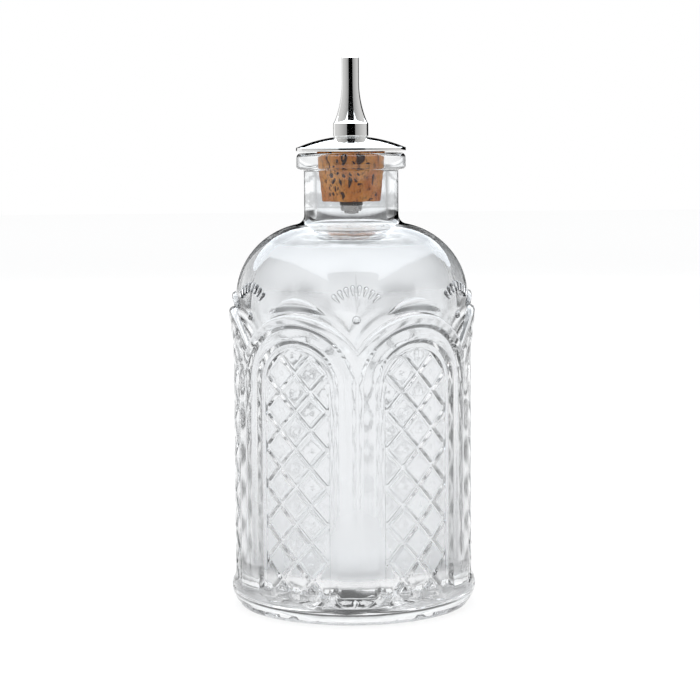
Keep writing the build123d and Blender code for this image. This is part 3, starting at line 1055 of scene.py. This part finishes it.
class BOTTLE_OT_spout(bpy.types.Operator):
    """Build the turned dasher spout with its groove, flare and fine outlet"""

    bl_idname = "bottle.spout"
    bl_label = "Dasher spout"

    def execute(self, context):
        edge = context.scene.bottle_stopper.edge_round
        seat, tip = SPOUT_LOW[2], SPOUT_HIGH[2]
        base, neck, outlet = SPOUT_HIGH[0], 0.00219, 0.001
        groove, groove_top, groove_round = base - 0.0003, seat + 0.00022, edge / 2
        base_top, socket_top, chamfer, flare_length = seat + 0.0037, seat + 0.0033, 0.00035, 0.0103
        tip_round, outlet_round = 0.0004, 0.0002
        flare_foot = (base - chamfer, base_top + chamfer)
        flare_top = flare_foot[1] + flare_length
        reach = flare_foot[0] - neck
        flare = (flare_length**2 + reach**2) / (2 * reach)
        flare_start = 180 + degrees(asin(flare_length / flare))
        points = [(STEM_HOLE, seat), (groove, seat), (groove, groove_top)]
        points += arc((base - groove_round, groove_top + groove_round), groove_round, -90, 0, 4)
        points += line((base, seat + 0.0006), (base, base_top - edge), 4)
        points += arc((base - edge, base_top - edge), edge, 0, 45, 4)
        points += arc((neck + flare, flare_top), flare, flare_start, 180, 26)
        points += line((neck, flare_top), (neck, tip - tip_round), 8)[1:]
        points += arc((neck - tip_round, tip - tip_round), tip_round, 0, 90, 6)
        outlet_centre = (outlet + outlet_round, tip - outlet_round)
        points += arc(outlet_centre, outlet_round, 90, 180, 3)
        points += line((outlet, tip - 0.0004), (outlet, socket_top), 8)
        points += [(outlet, socket_top), (STEM_HOLE, socket_top), (STEM_HOLE, seat)]
        steel = polished_steel_material()
        add_turned("turned_spout", points, 128, 50, steel, "polished_steel", "dasher_spout")
        return {"FINISHED"}


class BOTTLE_OT_fixings(bpy.types.Operator):
    """Build the tube and washer, and dress the nut, that hold the stopper together"""

    bl_idname = "bottle.fixings"
    bl_label = "Tube, washer and nut"

    def execute(self, context):
        steel = plain_steel_material()
        edge = 0.0002
        collars = (
            ("stem", "stem_tube", 0.0012, STEM_LOW, STEM_HIGH),
            ("washer", "end_washer", STEM_HOLE, WASHER_LOW, WASHER_HIGH),
        )
        for name, node, inner, (_, _, low), (outer, _, high) in collars:
            points = [(inner, low)]
            points += arc((outer - edge, low + edge), edge, -90, 0, 3)
            points += arc((outer - edge, high - edge), edge, 0, 90, 3)
            points += [(inner, high), (inner, low)]
            add_turned(name, points, 72, 50, steel, "plain_steel", node)
        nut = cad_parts["retaining_nut"]
        for material_slot in nut.material_slots:
            material_slot.material = steel
        return {"FINISHED"}


def fading_material(name, front, back, start, end):
    """A card that is white at the top, and below it a grey that changes towards the back."""
    graph = Graph(name)
    _, depth, height = graph.axes()
    tone = graph.blend(depth.step(-1.15, 0.3), (front,) * 3, (back,) * 3)
    return graph.glow(graph.blend(height.step(start, end), tone, SOFT_TINT), SOFT_LIGHT)


def hide_from(made, *kinds):
    """Hide an object from kinds of rays, such as camera or glossy."""
    for kind in kinds:
        setattr(made, "visible_" + kind, False)


def card(name, size, centre, tilt, material):
    """A flat card or floor, facing along the direction that its tilt gives."""
    mesh = bmesh.new()
    bmesh.ops.create_grid(mesh, x_segments=1, y_segments=1, size=0.5)
    bmesh.ops.scale(mesh, verts=mesh.verts, vec=(*size, 1))
    bmesh.ops.transform(mesh, verts=mesh.verts, matrix=Euler(tilt).to_matrix().to_4x4())
    bmesh.ops.translate(mesh, verts=mesh.verts, vec=centre)
    made = add_object(name, mesh, material)
    return made


def floor_material():
    """Pale floor that looks white to the camera and still keeps the bottle's shadow."""
    graph = Graph("pale_floor")
    grain = graph.noise(graph.place(), 30.0, 3.0)
    graph.surface(
        Base_Color=graph.blend(grain, (0.84, 0.84, 0.845), (0.87, 0.87, 0.875)),
        Roughness=0.7,
        Specular_IOR_Level=0.1,
    )
    plain = Value(graph, graph.shader.outputs[0])
    white = graph.node("ShaderNodeEmission", inputs={"Strength": 1.0})
    inputs = {0: graph.in_sight() * 0.85, 1: plain, 2: white}
    return graph.finish(graph.node("ShaderNodeMixShader", inputs=inputs))


def tent_material():
    """Glow of the light tent, which differs between its sides and over its height."""
    graph = Graph("tent_glow")
    across, back, height = graph.axes()
    height = height / TENT_TOP

    def glow_over(levels):
        stops = []
        for rise, level in levels:
            tone = level / TENT_LIGHT
            stops.append((rise / TENT_TOP, (tone * 0.985, tone * 0.995, tone)))
        return graph.node("ShaderNodeValToRGB", {"stops": stops}, {0: height})

    tone = graph.blend(across.step(-0.2, 0.2), glow_over(LEFT_GLOW), glow_over(RIGHT_GLOW))
    tone = graph.blend(back.step(0.6, 1.05), tone, glow_over(BACK_GLOW))
    tone = graph.blend(back.step(-1.1, -0.7), glow_over(FRONT_GLOW), tone)
    return graph.glow(tone, TENT_LIGHT)


def light_tent():
    """A tent of glowing cloth that only the glass and plain surfaces see."""
    wall, bend = 1.3, 0.6
    points = [(wall, -0.001), (wall, 0.4), (wall, 0.8)]
    points += arc((0.7, TENT_TOP - bend), bend, 0, 90, 8) + [(0, TENT_TOP)]
    tent = add_object("light_tent", turned(points, 48), tent_material())
    hide_from(tent, "camera", "glossy", "shadow")


def white_world(fill):
    """A world that lights evenly and is white to the camera, to metal and to glass."""
    graph = Graph("white_room", bpy.data.worlds, "Background")
    bpy.context.scene.world = graph.owner
    inputs = {"Value": graph.in_sight(), "To Min": fill, "To Max": 1.0}
    strength = graph.node("ShaderNodeMapRange", {"clamp": True}, inputs)
    graph.surface(Color=(1.0, 1.0, 1.0), Strength=strength)


def area_lamp(name, size, power, place):
    """A soft rectangular lamp aimed at the middle of the bottle."""
    target = (0, 0, 0.08)
    data = bpy.data.lights.new(name, "AREA")
    data.shape = "RECTANGLE"
    data.size, data.size_y = size
    data.energy = power
    lamp = bpy.data.objects.new(name, data)
    lamp.location = place
    lamp.rotation_euler = (Vector(target) - Vector(place)).to_track_quat("-Z", "Y").to_euler()
    bpy.context.scene.collection.objects.link(lamp)
    hide_from(lamp, "glossy")


def photo_camera():
    """The photograph's camera: a long lens from slightly above, turned and leaning a little."""
    distance, height, pitch = 0.545, 0.121, 5.716
    azimuth, roll = radians(-2), radians(0.4)
    focal_pixels, picture_pixels = 2098, 700
    data = bpy.data.cameras.new("camera")
    data.sensor_width = 36.0
    data.lens = focal_pixels / picture_pixels * data.sensor_width
    data.shift_x = -0.0033
    camera = bpy.data.objects.new("camera", data)
    turn = Matrix.Rotation(azimuth, 4, "Z")
    tilt = Matrix.Rotation(radians(90 - pitch), 4, "X")
    lean = Matrix.Rotation(-roll, 4, "Z")
    camera.matrix_world = turn @ Matrix.Translation((0, -distance, height)) @ tilt @ lean
    bpy.context.scene.collection.objects.link(camera)
    bpy.context.scene.camera = camera


class BOTTLE_OT_stage(bpy.types.Operator):
    """Build the floor, the light tent, the studio cards, the lamps and the camera"""

    bl_idname = "bottle.stage"
    bl_label = "Stage"

    def execute(self, context):
        stage = context.scene.bottle_stage
        white_world(stage.fill)
        card("floor", (6, 6), (0, 0, -0.0002), (0, 0, 0), floor_material())
        light_tent()
        dark = Graph("dark_card").glow((0.0, 0.0, 0.0), 0.0)
        soft = Graph("soft_card").glow(SOFT_TINT, SOFT_LIGHT)
        front = fading_material("front_card", 0.0, 0.0, 1.34, 1.43)
        side = fading_material("side_card", 0.09, 0.18, 0.88, 1.02)
        upright, turn = pi / 2, radians(12.4)
        flat, facing = (0, 0, 0), (upright, 0, 0)
        cards = (
            ("soft_card", (6.4, 6.4), (0, 0, 1.45), flat, soft),
            ("front_card", (1.36, 1.63), (-0.02, -1.15, 0.615), facing, front),
            ("back_strip", (2.1, 0.55), (0.55, 1.2, 0.325), facing, dark),
            ("left_card", (2.0, 1.22), (-0.82, -0.18, 0.41), (upright, 0, upright + turn), side),
            ("right_card", (2.0, 1.22), (0.82, -0.18, 0.41), (upright, 0, upright - turn), side),
        )
        for shown in cards:
            hide_from(card(*shown), "camera", "transmission", "diffuse", "shadow")
        area_lamp("left_lamp", (0.5, 0.9), stage.side_power, (-0.9, -0.35, 0.4))
        area_lamp("right_lamp", (0.5, 0.9), stage.side_power, (0.9, -0.35, 0.4))
        area_lamp("top_lamp", (0.8, 0.8), stage.top_power, (0, 0.1, 1.0))
        photo_camera()
        context.scene.view_settings.view_transform = "Standard"
        return {"FINISHED"}


class BOTTLE_PT_panel(bpy.types.Panel):
    """The bottle's builders in the sidebar"""

    bl_label = "Bitters bottle"
    bl_space_type = "VIEW_3D"
    bl_region_type = "UI"
    bl_category = "Bottle"

    def draw(self, context):
        for operator in OPERATORS:
            self.layout.operator(operator.bl_idname)


OPERATORS = (
    BOTTLE_OT_glass,
    BOTTLE_OT_cork,
    BOTTLE_OT_flange,
    BOTTLE_OT_spout,
    BOTTLE_OT_fixings,
    BOTTLE_OT_stage,
)
GROUPS = (GlassSizes, StopperSizes, StageSettings)


def register():
    """Register the groups, the operators and the panel."""
    for item in (*GROUPS, *OPERATORS, BOTTLE_PT_panel):
        bpy.utils.register_class(item)
    bpy.types.Scene.bottle_glass = bpy.props.PointerProperty(type=GlassSizes)
    bpy.types.Scene.bottle_stopper = bpy.props.PointerProperty(type=StopperSizes)
    bpy.types.Scene.bottle_stage = bpy.props.PointerProperty(type=StageSettings)


def unregister():
    """Take the groups, the operators and the panel away again."""
    del bpy.types.Scene.bottle_stage
    del bpy.types.Scene.bottle_stopper
    del bpy.types.Scene.bottle_glass
    for item in reversed((*GROUPS, *OPERATORS, BOTTLE_PT_panel)):
        bpy.utils.unregister_class(item)


def main():
    """Build everything in order."""
    register()
    for operator in OPERATORS:
        getattr(bpy.ops.bottle, operator.bl_idname.split(".")[1])()


if __name__ == "__main__":
    main()
